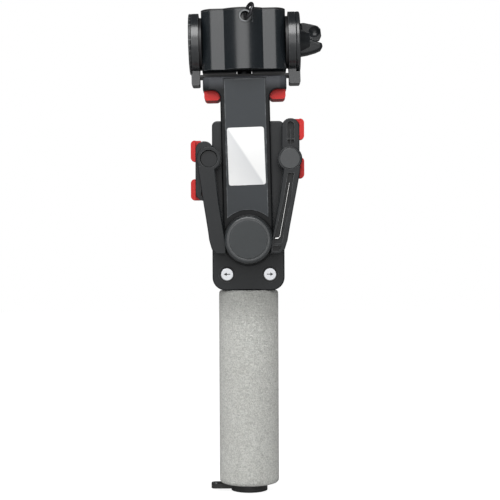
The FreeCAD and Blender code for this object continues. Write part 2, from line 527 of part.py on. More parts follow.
pan_nut = doc.addObject("Part::Prism", "pan_nut_prism")
pan_nut.Polygon = 6
bind(pan_nut, Circumradius=4.6, Height=3.2, at_y="pan_y", at_z="shoulder_bottom - 3.25")
upper("pan_nut", cut("pan_nut_solid", pan_nut, rod("pan_nut_bore", "z", 0, "pan_y", 230, 2.49, 30)))


def ear(name, block_out):
    disc = rod(name + "_disc", "x", "ear_in", "pan_y", "axis_z", "disc_r", "ear_out - ear_in")
    neck = box(name + "_neck", "ear_in", "ear_out", "pan_y - ear_block_half", "pan_y + ear_block_half",
               "ear_block_low + 2", "axis_z - 6")
    block = rounded(name + "_block", box(name + "_block_box", "ear_in", block_out, "pan_y - ear_block_half",
                                         "pan_y + ear_block_half", "ear_block_low", "ear_block_top"), 1.0,
                                         "y",
                    lambda mid: mid.z < 243)
    return cut(name + "_cut", fuse(name + "_body", disc, neck, block),
               rod(name + "_bore", "x", 20, "pan_y", "axis_z", "axle_r + 0.03", 20))


upper("yoke_ear_right", ear("ear_right", "block_out_right"))
upper("yoke_ear_left", mirrored("ear_left", ear("ear_left_source", "block_out_left")))

# ---------------------------------------------------------------- tilt axle, dial, cover and wing knob
upper("tilt_axle", rod("axle", "x", "-axle_left", "pan_y", "axis_z", "axle_r - 0.02",
                       "axle_left + axle_right"))
washer = cut("washer", rod("washer_out", "x", "drum_half + 0.05", "pan_y", "axis_z", "washer_r",
                           "ear_in - drum_half - 0.1"),
             rod("washer_in", "x", 20, "pan_y", "axis_z", "axle_r + 0.03", 20))
upper("tilt_washers", together("tilt_washers_all", washer, mirrored("washer_left", washer)))
dial = rod("dial_disc", "x", "ear_out + 0.1", "pan_y", "axis_z", "disc_r", "dial_out - ear_out - 0.1")
dial_soft = eased("dial_soft", dial, 0.7, lambda mid, edge: mid.x > 30 and edge.BoundBox.ZLength > 30)
ribs = [rod("dial_flute_%02d" % i, "x", "dial_out - 1.6", "pan_y + (disc_r + 0.62) * cos(%d deg)" % (10 * i),
            "axis_z + (disc_r + 0.62) * sin(%d deg)" % (10 * i), 0.8, 6) for i in range(36)]
dial_dish = rod("dial_dish", "x", "dial_out - 0.7", "pan_y", "axis_z", 12.5, 5)
dial_cut = cut("dial_cut", dial_soft, rod("dial_bore", "x", 20, "pan_y", "axis_z", "axle_r + 0.03",
                                          "axle_left - 19.5"),
               dial_dish, together("dial_flutes", *ribs))
upper("drag_dial", mirrored("drag_dial_solid", dial_cut))
cover = rod("cover_disc", "x", "ear_out", "pan_y", "axis_z", "disc_r", "cover_out - ear_out")
cover_soft = eased("cover_soft", cover, 0.9, lambda mid, edge: mid.x > 30 and edge.BoundBox.ZLength > 30)
upper("tilt_cover", cut("cover_solid", cover_soft, rod("cover_bore", "x", 20, "pan_y", "axis_z",
                                                       "axle_r + 0.05", 30)))
LOWER_WING = [(33.3, 274.2), (34.4, 271.6), (37.6, 267.9), (42.4, 265.6), (46.2, 264.2), (46.6, 262.2),
              (45.4, 260.2),
              (42.6, 259.0), (37.4, 257.6), (33.3, 257.0)]
UPPER_WING = [(33.6, 276.4), (35.6, 276.6), (39.8, 275.7), (43.8, 274.6), (45.6, 272.8), (46.0, 268.6),
              (45.0, 266.4),
              (40.0, 265.4), (34.6, 268.0)]
lower_wing = rounded("lower_wing", outline("lower_wing_blade", "XZ_Plane", LOWER_WING, "pan_y + 3.9", 7.8),
                     0.8, "y",
                     lambda mid: mid.x > 45)
lower_soft = eased("lower_soft", lower_wing, 1.5, lambda mid,
                   edge: edge.BoundBox.YLength < 0.01 and mid.x > 34)
upper_wing = outline("upper_wing_blade", "XZ_Plane", UPPER_WING, "pan_y + 3.2", 5.4)
upper_soft = eased("upper_soft", upper_wing, 0.9, lambda mid,
                   edge: edge.BoundBox.YLength < 0.01 and mid.z > 268)
wing_dish = doc.addObject("Part::Sphere", "wing_dish")
bind(wing_dish, Radius=4.4, at_x=41.8, at_y="pan_y - 5.0", at_z=271.0)
wing_hub = rod("wing_hub", "x", "cover_out + 0.15", "pan_y", "axis_z", 7.4, 6, 5.2)
wing_bore = rod("wing_bore", "x", 20, "pan_y", "axis_z", "axle_r + 0.02", 20.4)
upper("wing_knob", cut("wing_solid", fuse("wing_body", cut("upper_open", upper_soft, wing_dish), lower_soft,
                                          wing_hub),
                       wing_bore))

# ---------------------------------------------------------------- drum, top plate, socket, eyelet and ring
drum_block = rounded("drum_block", box("drum_box", "-drum_half", "drum_half", "facet_y", "drum_back",
                                       "drum_low",
                                       "drum_top"), VALUES["drum_round"], "z")
barrel = cut("barrel", rod("barrel_rod", "z", 0, "facet_y + barrel_in", "drum_low", "barrel_r",
                           "drum_top - drum_low"),
             box("barrel_trim", -40, 40, "facet_y + 1", 40, 200, 300))
drum_all = fuse("drum_all", drum_block, barrel)
under = cut("under_tool", box("under_box", -40, 40, "pan_y - 13", 40, 230, "axis_z"),
            rod("under_rod", "x", -40, "pan_y", "axis_z", "under_r", 80))
groove_tool = cut("groove_tool", box("groove_box", -4.6, 4.6, "pan_y - 13", 40, 230, "axis_z - 8"),
                  rod("groove_rod", "x", -40, "pan_y", "axis_z", "groove_r", 80))
pocket = box("ring_pocket", "eyelet_x - 3.4", "eyelet_x + 4.4", "facet_y - 2.6", "facet_y + 0.8",
             "eyelet_z - 3.6", 300)
saddle = box("ring_saddle", "eyelet_x + 0.4", "eyelet_x + 4.1", -40, "facet_y - 2", 281.5, 300)
eye_bore = rod("eye_bore", "y", "eyelet_x", -40, "eyelet_z", "eyelet_hole_r + 0.6", 14.9)
drum_cut = cut("drum_cut", drum_all, under, groove_tool, pocket, eye_bore, saddle,
               rod("axle_bore", "x", -40, "pan_y", "axis_z", "axle_r", 80),
               rod("insert_bore", "z", 0, "pan_y", "drum_top - 10", "socket_r", 20))
upper("drum", drum_cut)
plate_block = rounded("plate_block", box("plate_box", "-drum_half", "drum_half", "facet_y", "drum_back",
                                         "drum_top",
                                         "plate_top"), VALUES["drum_round"], "z")
plate_nose = cut("plate_nose", rod("plate_rod", "z", 0, "facet_y + barrel_in", "drum_top", "barrel_r",
                                   "plate_top - drum_top"),
                 box("plate_trim", -40, 40, "facet_y + 1", 40, 200, 300))
upper("top_plate", cut("top_plate_solid", fuse("plate_all", plate_block, plate_nose), pocket, saddle,
                      rod("plate_bore", "z", 0, "pan_y", 270, "socket_r", 20)))
upper("camera_socket", cut("camera_socket_solid", rod("camera_socket_out", "z", 0, "pan_y", "plate_top - 11",
                                                     "socket_r - 0.01", 11),
                          rod("camera_socket_in", "z", 0, "pan_y", "plate_top - socket_depth",
                              "socket_hole_r", 20)))
crest = "facet_y + barrel_in - barrel_r"
eyelet_tube = rod("eyelet_tube", "y", "eyelet_x", crest, "eyelet_z", "eyelet_hole_r + 0.58", 1.0)
eyelet_rim = rod("eyelet_rim", "y", "eyelet_x", crest + " - 0.35", "eyelet_z", "eyelet_r - 0.3", 0.35,
                 "eyelet_r")
upper("eyelet", cut("eyelet_solid", fuse("eyelet_body", eyelet_tube, eyelet_rim),
                   rod("eyelet_hole", "y", "eyelet_x", -40, "eyelet_z", "eyelet_hole_r", 20)))
ring = doc.addObject("Part::Torus", "ring_torus")
ring.Placement = FreeCAD.Placement(V(0, 0, 0), FreeCAD.Rotation(V(0, 1, 0), VALUES["ring_lean"])
                                   * FreeCAD.Rotation(V(0, 0, 1),
                                                      VALUES["ring_yaw"]) * FreeCAD.Rotation(V(0, 1, 0), 90))
bind(ring, Radius1="ring_mid_r", Radius2="ring_wire_r", at_x="ring_x", at_y="ring_y", at_z="ring_z")
upper("carry_ring", ring)

# ---------------------------------------------------------------- checks and export
doc.recompute()
bad = [item.Name for item in doc.Objects if "Invalid" in item.State or "Error" in item.State]
if bad:
    raise RuntimeError("features that did not build: %s" % bad)
os.makedirs("parts", exist_ok=True)
for name, item in NODES:
    shape = item.Shape
    if shape.isNull() or not shape.isValid() or not shape.Solids:
        raise RuntimeError("%s is not a valid solid" % name)
    shape.exportStep("parts/%s.step" % name)
    print("%-20s %2d solid  %9.1f mm3" % (name, len(shape.Solids), shape.Volume))
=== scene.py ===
import math
import bmesh
import bpy
from mathutils import Matrix, Vector


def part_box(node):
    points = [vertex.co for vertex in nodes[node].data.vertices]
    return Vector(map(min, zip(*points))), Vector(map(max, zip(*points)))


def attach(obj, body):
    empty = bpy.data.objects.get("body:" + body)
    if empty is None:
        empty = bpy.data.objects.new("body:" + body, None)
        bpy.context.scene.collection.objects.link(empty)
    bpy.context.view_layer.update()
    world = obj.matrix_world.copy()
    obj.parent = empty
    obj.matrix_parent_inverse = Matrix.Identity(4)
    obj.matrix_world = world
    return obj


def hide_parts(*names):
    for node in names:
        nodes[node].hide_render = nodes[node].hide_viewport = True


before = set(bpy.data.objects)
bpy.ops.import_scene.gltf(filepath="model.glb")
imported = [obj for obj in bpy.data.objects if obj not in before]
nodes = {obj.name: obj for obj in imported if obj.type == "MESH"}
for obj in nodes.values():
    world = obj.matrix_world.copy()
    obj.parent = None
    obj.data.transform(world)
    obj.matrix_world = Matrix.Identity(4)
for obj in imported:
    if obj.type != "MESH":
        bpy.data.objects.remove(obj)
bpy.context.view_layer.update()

# ============================================================ camera
# A long lens level with the middle of the object and square on to its front face. It leans
# a fraction of a degree, as a hand-set camera does.
camera_place = (0.0009, -0.690, 0.1431)
camera_lean = math.radians(-0.25)
camera_data = bpy.data.cameras.new("camera")
camera_data.lens = 83.0
camera_data.sensor_width = 36.0
camera_data.clip_start = 0.05
camera = bpy.data.objects.new("camera", camera_data)
bpy.context.scene.collection.objects.link(camera)
camera.matrix_world = (Matrix.Translation(camera_place) @ Matrix.Rotation(math.radians(90.0), 4, "X")
                       @ Matrix.Rotation(camera_lean, 4, "Z"))
bpy.context.scene.camera = camera

# ============================================================ floor and studio light
# A white table that glows for the camera only, a broad key box above, one strip on each side
# and a wide box in front. The surround is dim, which keeps the blacks deep.


def add(tree, kind, links=None, **values):
    """A shader node with its properties set and its inputs linked or filled in by name or number."""
    made = tree.nodes.new(kind)
    for key, value in values.items():
        setattr(made, key, value)
    for key, source in (links or {}).items():
        socket = made.inputs[key]
        if isinstance(source, bpy.types.NodeSocket):
            tree.links.new(source, socket)
        else:
            socket.default_value = source
    return made


def soft_box(name, place, width, height, power, in_gloss=True):
    """A rectangular soft light that faces the middle of the object."""
    lamp_data = bpy.data.lights.new(name, "AREA")
    lamp_data.shape = "RECTANGLE"
    lamp_data.size = width
    lamp_data.size_y = height
    lamp_data.energy = power
    lamp = bpy.data.objects.new(name, lamp_data)
    bpy.context.scene.collection.objects.link(lamp)
    lamp.location = place
    lamp.rotation_euler = (Vector((0.0, 0.0, 0.16)) - Vector(place)).to_track_quat("-Z", "Y").to_euler()
    lamp.visible_glossy = in_gloss


white = (1.0, 1.0, 1.0, 1.0)
floor_drop = 0.0006
floor_mesh = bmesh.new()
bmesh.ops.create_grid(floor_mesh, x_segments=1, y_segments=1, size=1.6,
                      matrix=Matrix.Translation((0.0, 0.4, -floor_drop)))
floor_data = bpy.data.meshes.new("floor")
floor_mesh.to_mesh(floor_data)
floor_mesh.free()
floor = bpy.data.objects.new("floor", floor_data)
bpy.context.scene.collection.objects.link(floor)
floor_paint = bpy.data.materials.new("floor_paint")
floor_paint.use_nodes = True
tree = floor_paint.node_tree
shader = tree.nodes["Principled BSDF"]
shader.inputs["Base Color"].default_value = (0.42, 0.42, 0.42, 1.0)
shader.inputs["Roughness"].default_value = 0.9
shader.inputs["Emission Color"].default_value = white
seen = add(tree, "ShaderNodeLightPath").outputs["Is Camera Ray"]
floor_glow = add(tree, "ShaderNodeMath", {0: seen, 1: 0.90}, operation="MULTIPLY")
tree.links.new(floor_glow.outputs[0], shader.inputs["Emission Strength"])
floor_data.materials.append(floor_paint)

surround = bpy.data.worlds.new("surround")
surround.use_nodes = True
tree = surround.node_tree
ray = add(tree, "ShaderNodeLightPath").outputs
gloss_fill, extra_fill = 0.06, 0.20
fill_power = add(tree, "ShaderNodeMath", {0: ray["Is Diffuse Ray"], 1: extra_fill, 2: gloss_fill},
                 operation="MULTIPLY_ADD").outputs[0]
fill_light = add(tree, "ShaderNodeBackground", {"Color": white, "Strength": fill_power}).outputs[0]
paper = add(tree, "ShaderNodeBackground", {"Color": white}).outputs[0]
backdrop = add(tree, "ShaderNodeMixShader", {0: ray["Is Camera Ray"], 1: fill_light, 2: paper})
tree.links.new(backdrop.outputs[0], tree.nodes["World Output"].inputs["Surface"])
bpy.context.scene.world = surround
bpy.context.scene.view_settings.view_transform = "Standard"

soft_box("key_box", (-0.10, -0.95, 1.10), 1.0, 0.8, 13.2)
soft_box("left_box", (-0.80, -0.40, 0.30), 0.40, 1.0, 3.2, in_gloss=False)
soft_box("right_box", (0.80, -0.35, 0.30), 0.40, 1.0, 2.0, in_gloss=False)
soft_box("front_box", (-0.10, -1.60, 0.40), 1.2, 1.2, 7.0)

# ============================================================ grip sleeve
# A foam tube slid over the alloy core and wrapped in pale grey cloth-look sheet with an
# embossed weave, which has creased finely. Both ends roll in where the wrap is tucked under.


def math_node(tree, operation, first, second=0.0, clamp=False):
    """The result of one sum on masks or heights."""
    sum_node = add(tree, "ShaderNodeMath", {0: first, 1: second}, operation=operation, use_clamp=clamp)
    return sum_node.outputs[0]


sleeve_low, sleeve_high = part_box("grip_sleeve")
sleeve_radius = (sleeve_high.x - sleeve_low.x) / 2
mm = 0.001
sleeve_bore = 13.1 * mm
sleeve_sides = 160
sleeve = bmesh.new()
rows = 46
roll_depth = 0.0030
rolled_end = [(0.0022, 0.0), (0.0008, 0.0004), (0.00012, 0.0013), (0.0, roll_depth)]
straight = sleeve_high.z - sleeve_low.z - 2 * roll_depth
profile = [(sleeve_bore, sleeve_low.z)]
profile += [(sleeve_radius - inward, sleeve_low.z + up) for inward, up in rolled_end]
profile += [(sleeve_radius, sleeve_low.z + roll_depth + straight * i / rows) for i in range(1, rows)]
profile += [(sleeve_radius - inward, sleeve_high.z - up) for inward, up in reversed(rolled_end)]
profile += [(sleeve_bore, sleeve_high.z)]
ring_verts = [sleeve.verts.new((radius, 0.0, height)) for radius, height in profile]
ring_edges = [sleeve.edges.new(pair) for pair in zip(ring_verts, ring_verts[1:] + ring_verts[:1])]
bmesh.ops.spin(sleeve, geom=ring_verts + ring_edges, cent=(0, 0, 0), axis=(0, 0, 1), angle=math.tau,
               steps=sleeve_sides, use_merge=True, use_duplicate=False)
bmesh.ops.remove_doubles(sleeve, verts=sleeve.verts, dist=1e-6)
bmesh.ops.recalc_face_normals(sleeve, faces=sleeve.faces)
wrap_uv = sleeve.loops.layers.uv.new("wrap")
for face in sleeve.faces:
    face.smooth = True
    middle = face.calc_center_median()
    base_turn = math.atan2(middle.y, middle.x)
    for loop in face.loops:
        turn_angle = math.atan2(loop.vert.co.y, loop.vert.co.x)
        turn_angle += round((base_turn - turn_angle) / math.tau) * math.tau
        loop[wrap_uv].uv = (turn_angle * sleeve_radius / mm, loop.vert.co.z / mm)
sleeve_data = bpy.data.meshes.new("foam_grip")
sleeve.to_mesh(sleeve_data)
sleeve.free()
foam_grip = bpy.data.objects.new("foam_grip", sleeve_data)
bpy.context.scene.collection.objects.link(foam_grip)

wrap_cloth = bpy.data.materials.new("wrap_cloth")
wrap_cloth.use_nodes = True
tree = wrap_cloth.node_tree
shader = tree.nodes["Principled BSDF"]
uv = add(tree, "ShaderNodeUVMap", uv_map="wrap").outputs["UV"]
wander = add(tree, "ShaderNodeTexNoise", {"Vector": uv, "Scale": 0.35, "Detail": 2.0})
wander_shift = add(tree, "ShaderNodeVectorMath", {0: wander.outputs["Color"], 1: (0.5, 0.5, 0.5)},
                   operation="SUBTRACT")
wandered = add(tree, "ShaderNodeVectorMath", {0: wander_shift.outputs[0], "Scale": 0.55},
               operation="SCALE")
bent_uv = add(tree, "ShaderNodeVectorMath", {0: uv, 1: wandered.outputs[0]}, operation="ADD").outputs[0]
slub_along, slub_across = 0.16, 2.3
slubs, lines = [], []
for stretch, bands in (((slub_along, slub_across, 1.0), "Y"), ((slub_across, slub_along, 1.0), "X")):
    laid = add(tree, "ShaderNodeMapping", {"Vector": bent_uv, "Scale": stretch}).outputs[0]
    slubs.append(add(tree, "ShaderNodeTexNoise", {"Vector": laid, "Scale": 1.0, "Detail": 2.0,
                                                  "Roughness": 0.55}).outputs["Fac"])
    line = add(tree, "ShaderNodeTexWave", {"Vector": bent_uv, "Scale": 0.58, "Distortion": 1.2,
                                           "Detail": 2.0, "Detail Scale": 1.6}, bands_direction=bands)
    lines.append(math_node(tree, "MULTIPLY", line.outputs["Fac"], 0.5))
crinkle = add(tree, "ShaderNodeTexNoise", {"Vector": uv, "Scale": 0.66, "Detail": 2.5,
                                           "Roughness": 0.55, "Distortion": 0.6})
off_crease = math_node(tree, "ABSOLUTE", math_node(tree, "SUBTRACT", crinkle.outputs["Fac"], 0.5))
crease = math_node(tree, "SUBTRACT", 1.0, math_node(tree, "MULTIPLY", off_crease, 7.0), clamp=True)
threads = math_node(tree, "ADD", math_node(tree, "MULTIPLY", math_node(tree, "MAXIMUM", *slubs), 0.55),
                    math_node(tree, "MULTIPLY", math_node(tree, "ADD", *lines), 0.25))
weave = math_node(tree, "SUBTRACT", math_node(tree, "ADD", threads, 0.43),
                  math_node(tree, "MULTIPLY", crease, 0.36))
speck = add(tree, "ShaderNodeTexNoise", {"Vector": uv, "Scale": 2.4, "Detail": 3.0, "Roughness": 0.7})
height = math_node(tree, "ADD", weave, math_node(tree, "MULTIPLY", speck.outputs["Fac"], 0.15))
tone = add(tree, "ShaderNodeValToRGB", {"Fac": height})
tone.color_ramp.elements[0].position = 0.42
tone.color_ramp.elements[0].color = (0.19, 0.192, 0.18, 1.0)
tone.color_ramp.elements[1].position = 0.80
tone.color_ramp.elements[1].color = (0.64, 0.645, 0.61, 1.0)
tone.color_ramp.elements.new(0.60).color = (0.46, 0.465, 0.44, 1.0)
soil = add(tree, "ShaderNodeTexNoise", {"Vector": uv, "Scale": 0.05, "Detail": 4.0, "Roughness": 0.6})
soil_amount = add(tree, "ShaderNodeMapRange", {"Value": soil.outputs["Fac"], "From Min": 0.4,
                                               "From Max": 0.75, "To Max": 0.14}).outputs["Result"]
sleeve_colour = add(tree, "ShaderNodeMix", {0: soil_amount, 6: tone.outputs["Color"],
                                     7: (0.36, 0.35, 0.31, 1.0)}, data_type="RGBA")
# Painted shadow: the sleeve's colour darkens towards its top, standing in for the shade under the
# housing.
up_the_sleeve = add(tree, "ShaderNodeSeparateXYZ", {0: uv}).outputs[1]
painted_shadow = add(tree, "ShaderNodeMapRange", {"Value": up_the_sleeve, "From Min": 92.0, "From Max": 119.0,
                                         "To Max": 0.42},
            interpolation_type="SMOOTHSTEP").outputs["Result"]
sleeve_colour = add(tree, "ShaderNodeMix", {0: painted_shadow, 6: sleeve_colour.outputs[2], 7: (0.12, 0.12, 0.11, 1.0)},
             data_type="RGBA")
tree.links.new(sleeve_colour.outputs[2], shader.inputs["Base Color"])
wrap_bump = add(tree, "ShaderNodeBump", {"Strength": 1.0, "Distance": 0.0006, "Height": height})
tree.links.new(wrap_bump.outputs["Normal"], shader.inputs["Normal"])
shader.inputs["Roughness"].default_value = 0.72
shader.inputs["Sheen Weight"].default_value = 0.25
shader.inputs["Sheen Roughness"].default_value = 0.5
sleeve_data.materials.append(wrap_cloth)
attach(foam_grip, "handle")
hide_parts("grip_sleeve")

# ============================================================ core tube and plug
# A drawn alloy tube with a turned plug pressed into its top end. Only its rims can be seen.
# Its finish, like those after it, mixes two shared effects: a fine grain, and rubbed edges that are
# partly painted edge highlights, with an uneven bloom of dust.


def new_group(name, inputs, outputs):
    """An empty shader group with named sockets: (name, type, default) for inputs."""
    group = bpy.data.node_groups.new(name, "ShaderNodeTree")
    for label, kind, default in inputs:
        socket = group.interface.new_socket(label, in_out="INPUT", socket_type=kind)
        if default is not None:
            socket.default_value = default
    for label, kind in outputs:
        group.interface.new_socket(label, in_out="OUTPUT", socket_type=kind)
    return group, group.nodes.new("NodeGroupInput"), group.nodes.new("NodeGroupOutput")


FLOAT, COLOUR, VECTOR = "NodeSocketFloat", "NodeSocketColor", "NodeSocketVector"

grain, grain_in, grain_out = new_group(
    "moulded_grain", [("Size", FLOAT, 900.0), ("Depth", FLOAT, 0.12), ("Waviness", FLOAT, 0.05)],
    [("Normal", VECTOR)])
place = add(grain, "ShaderNodeTexCoord").outputs["Object"]
pebbles = add(grain, "ShaderNodeTexVoronoi", {"Vector": place, "Scale": grain_in.outputs["Size"]},
              feature="SMOOTH_F1")
fine_size = math_node(grain, "MULTIPLY", grain_in.outputs["Size"], 1.7)
fine = add(grain, "ShaderNodeTexNoise", {"Vector": place, "Detail": 3.0, "Scale": fine_size})
slow = add(grain, "ShaderNodeTexNoise", {"Vector": place, "Detail": 1.0, "Scale": 42.0})
both = math_node(grain, "ADD", math_node(grain, "MULTIPLY", pebbles.outputs["Distance"], 0.6),
                 math_node(grain, "MULTIPLY", fine.outputs["Fac"], 0.4))
first_bump = add(grain, "ShaderNodeBump", {"Strength": grain_in.outputs["Depth"], "Distance": 0.00012,
                                           "Height": both})
second_bump = add(grain, "ShaderNodeBump", {"Strength": grain_in.outputs["Waviness"], "Distance": 0.001,
                                            "Height": slow.outputs["Fac"],
                                            "Normal": first_bump.outputs["Normal"]})
grain.links.new(second_bump.outputs["Normal"], grain_out.inputs["Normal"])

# Partly painted highlight: the edge colour lightens edges found by the bevel, both as rubbed wear and
# as a stand-in for light caught along edges.
wear_and_highlights, wear_and_highlights_in, wear_and_highlights_out = new_group(
    "rubbed_and_highlit_edges", [("Colour", COLOUR, (0.03, 0.03, 0.03, 1.0)),
                     ("Edge colour", COLOUR, (0.12, 0.12, 0.12, 1.0)),
                     ("Reach", FLOAT, 0.0006), ("Amount", FLOAT, 0.6), ("Dust", FLOAT, 0.25),
                     ("Roughness", FLOAT, 0.4), ("Spread", FLOAT, 0.1)],
    [("Colour", COLOUR), ("Roughness", FLOAT)])
place = add(wear_and_highlights, "ShaderNodeTexCoord").outputs["Object"]
round_bevel = add(wear_and_highlights, "ShaderNodeBevel", {"Radius": wear_and_highlights_in.outputs["Reach"]}, samples=6)
flat_normal = add(wear_and_highlights, "ShaderNodeNewGeometry").outputs["Normal"]
turn = add(wear_and_highlights, "ShaderNodeVectorMath", {0: round_bevel.outputs["Normal"], 1: flat_normal},
           operation="DOT_PRODUCT").outputs["Value"]
bend = math_node(wear_and_highlights, "MULTIPLY", math_node(wear_and_highlights, "SUBTRACT", 1.0, turn), 5.0, clamp=True)
patchy = add(wear_and_highlights, "ShaderNodeTexNoise", {"Vector": place, "Scale": 260.0, "Detail": 4.0,
                                          "Roughness": 0.65})
patches = add(wear_and_highlights, "ShaderNodeMapRange", {"Value": patchy.outputs["Fac"], "From Min": 0.38,
                                           "From Max": 0.68})
edge = math_node(wear_and_highlights, "MULTIPLY", math_node(wear_and_highlights, "MULTIPLY", bend, patches.outputs["Result"]),
                 wear_and_highlights_in.outputs["Amount"], clamp=True)
mixed = add(wear_and_highlights, "ShaderNodeMix", {0: edge, 6: wear_and_highlights_in.outputs["Colour"],
                                    7: wear_and_highlights_in.outputs["Edge colour"]}, data_type="RGBA")
bloom = add(wear_and_highlights, "ShaderNodeTexNoise", {"Vector": place, "Scale": 34.0, "Detail": 5.0,
                                         "Roughness": 0.6})
settled = add(wear_and_highlights, "ShaderNodeMapRange", {"Value": bloom.outputs["Fac"], "From Min": 0.45,
                                           "From Max": 0.75})
bloom_amount = math_node(wear_and_highlights, "MULTIPLY", settled.outputs["Result"], wear_and_highlights_in.outputs["Dust"],
                         clamp=True)
most_dust = 0.10
dusty = add(wear_and_highlights, "ShaderNodeMix", {0: math_node(wear_and_highlights, "MULTIPLY", bloom_amount, most_dust),
                                    6: mixed.outputs[2], 7: (0.16, 0.158, 0.15, 1.0)},
            data_type="RGBA")
rough = math_node(wear_and_highlights, "ADD", wear_and_highlights_in.outputs["Roughness"],
                  math_node(wear_and_highlights, "MULTIPLY", math_node(wear_and_highlights, "SUBTRACT", bloom.outputs["Fac"], 0.5),
                            wear_and_highlights_in.outputs["Spread"]), clamp=True)
rough_worn = math_node(wear_and_highlights, "SUBTRACT", rough, math_node(wear_and_highlights, "MULTIPLY", edge, 0.1), clamp=True)
wear_and_highlights.links.new(dusty.outputs[2], wear_and_highlights_out.inputs["Colour"])
wear_and_highlights.links.new(rough_worn, wear_and_highlights_out.inputs["Roughness"])


def finish(name, colour, roughness, edge_colour=None, size=900.0, depth=0.12, waviness=0.04,
           reach=0.0006, amount=0.6, dust=0.25, spread=0.12, metallic=0.0, **sockets):
    """A moulded, painted or rubber finish made of the two shared effects."""
    material = bpy.data.materials.new(name)
    material.use_nodes = True
    tree = material.node_tree
    shader = tree.nodes["Principled BSDF"]
    edge_colour = edge_colour or tuple(min(1.0, c * 2.2 + 0.02) for c in colour)
    worn_and_highlit = add(tree, "ShaderNodeGroup", node_tree=wear_and_highlights)
    for key, value in (("Colour", (*colour, 1.0)), ("Edge colour", (*edge_colour, 1.0)),
                       ("Reach", reach), ("Amount", amount), ("Dust", dust),
                       ("Roughness", roughness), ("Spread", spread)):
        worn_and_highlit.inputs[key].default_value = value
    texture = add(tree, "ShaderNodeGroup", node_tree=grain)
    for key, value in (("Size", size), ("Depth", depth), ("Waviness", waviness)):
        texture.inputs[key].default_value = value
    tree.links.new(worn_and_highlit.outputs["Colour"], shader.inputs["Base Color"])
    tree.links.new(worn_and_highlit.outputs["Roughness"], shader.inputs["Roughness"])
    tree.links.new(texture.outputs["Normal"], shader.inputs["Normal"])
    shader.inputs["Metallic"].default_value = metallic
    for key, value in sockets.items():
        shader.inputs[key.replace("_", " ")].default_value = value
    return material


def dress(material, *names):
    """Gives CAD nodes a material in every slot."""
    for name in names:
        slots = nodes[name].data.materials
        if not slots:
            slots.append(material)
        for i in range(len(slots)):
            slots[i] = material


drawn_alloy = finish("drawn_alloy", (0.55, 0.56, 0.57), 0.32, metallic=1.0, depth=0.05, amount=0.3,
                     dust=0.1)
dress(drawn_alloy, "grip_tube", "tube_plug")

# ============================================================ end cap, socket and strap lug
# A black rubbery plug closes the tube around a brass socket for a camera screw. The flat
# strap lug is trapped between cap and foam and turns about the grip; its eye has a pale grommet.
cap_rubber = finish("cap_rubber", (0.022, 0.023, 0.024), 0.55, size=700.0, depth=0.2, dust=0.5)
turned_brass = finish("turned_brass", (0.62, 0.44, 0.17), 0.28, metallic=1.0, depth=0.04, amount=0.4)
lug_plastic = finish("lug_plastic", (0.022, 0.022, 0.021), 0.38, size=1100.0, depth=0.1)
pale_trim = finish("pale_trim", (0.60, 0.62, 0.63), 0.28, metallic=1.0, depth=0.03, amount=0.25,
                   dust=0.15)
dress(cap_rubber, "end_cap")
dress(turned_brass, "base_insert")
dress(lug_plastic, "strap_lug")
dress(pale_trim, "lug_grommet")

# ============================================================ housing
# Two moulded half shells in black satin plastic with a fine spark-eroded grain, joined from
# the back by four blackened screws.
moulded_black = (0.010, 0.0115, 0.013)
shell_plastic = finish("shell_plastic", moulded_black, 0.36, size=1400.0, depth=0.10, waviness=0.03,
                       edge_colour=(0.11, 0.115, 0.12), amount=0.8, dust=0.3, Specular_IOR_Level=0.36)
black_screw = finish("black_screw", (0.05, 0.05, 0.052), 0.30, metallic=1.0, depth=0.03)
dress(shell_plastic, "housing_front", "housing_back")
dress(black_screw, "housing_screws", "pan_bolt")

# ============================================================ release buttons
# Two domed chromed push buttons in dark rubber rings. Each has a small engraved arrow that
# points to the arm it lets go.
ring_rubber = finish("ring_rubber", (0.006, 0.006, 0.007), 0.5, depth=0.05, dust=0.1)
dress(ring_rubber, "button_bezels")
chrome_plate = finish("chrome_plate", (0.56, 0.57, 0.59), 0.24, metallic=1.0,
                      edge_colour=(0.9, 0.9, 0.92), size=300.0, depth=0.01, waviness=0.02,
                      dust=0.15, spread=0.05)
dress(chrome_plate, "left_button", "right_button")
arrow_ink = finish("arrow_ink", (0.015, 0.015, 0.016), 0.5, depth=0.02, amount=0.1, dust=0.05)
outline = [(-1.9, -0.24), (0.2, -0.24), (0.2, -1.0), (2.0, 0.0), (0.2, 1.0), (0.2, 0.24), (-1.9, 0.24)]
sunk, ink_depth = 0.01 * mm, 0.06 * mm
for side, way in (("left", -1.0), ("right", 1.0)):
    low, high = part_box(side + "_button")
    centre = (low + high) / 2
    arrow = bmesh.new()
    corners = [arrow.verts.new((centre.x + way * x * mm, low.y + sunk, centre.z + z * mm))
               for x, z in outline]
    face = arrow.faces.new(corners if way > 0 else corners[::-1])
    made = bmesh.ops.extrude_face_region(arrow, geom=[face])
    bmesh.ops.translate(arrow, vec=(0.0, -ink_depth, 0.0),
                        verts=[v for v in made["geom"] if isinstance(v, bmesh.types.BMVert)])
    bmesh.ops.recalc_face_normals(arrow, faces=arrow.faces)
    arrow_data = bpy.data.meshes.new(side + "_arrow")
    arrow.to_mesh(arrow_data)
    arrow.free()
    arrow_data.materials.append(arrow_ink)
    arrow_piece = bpy.data.objects.new(side + "_arrow", arrow_data)
    bpy.context.scene.collection.objects.link(arrow_piece)
    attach(arrow_piece, side + "_release")

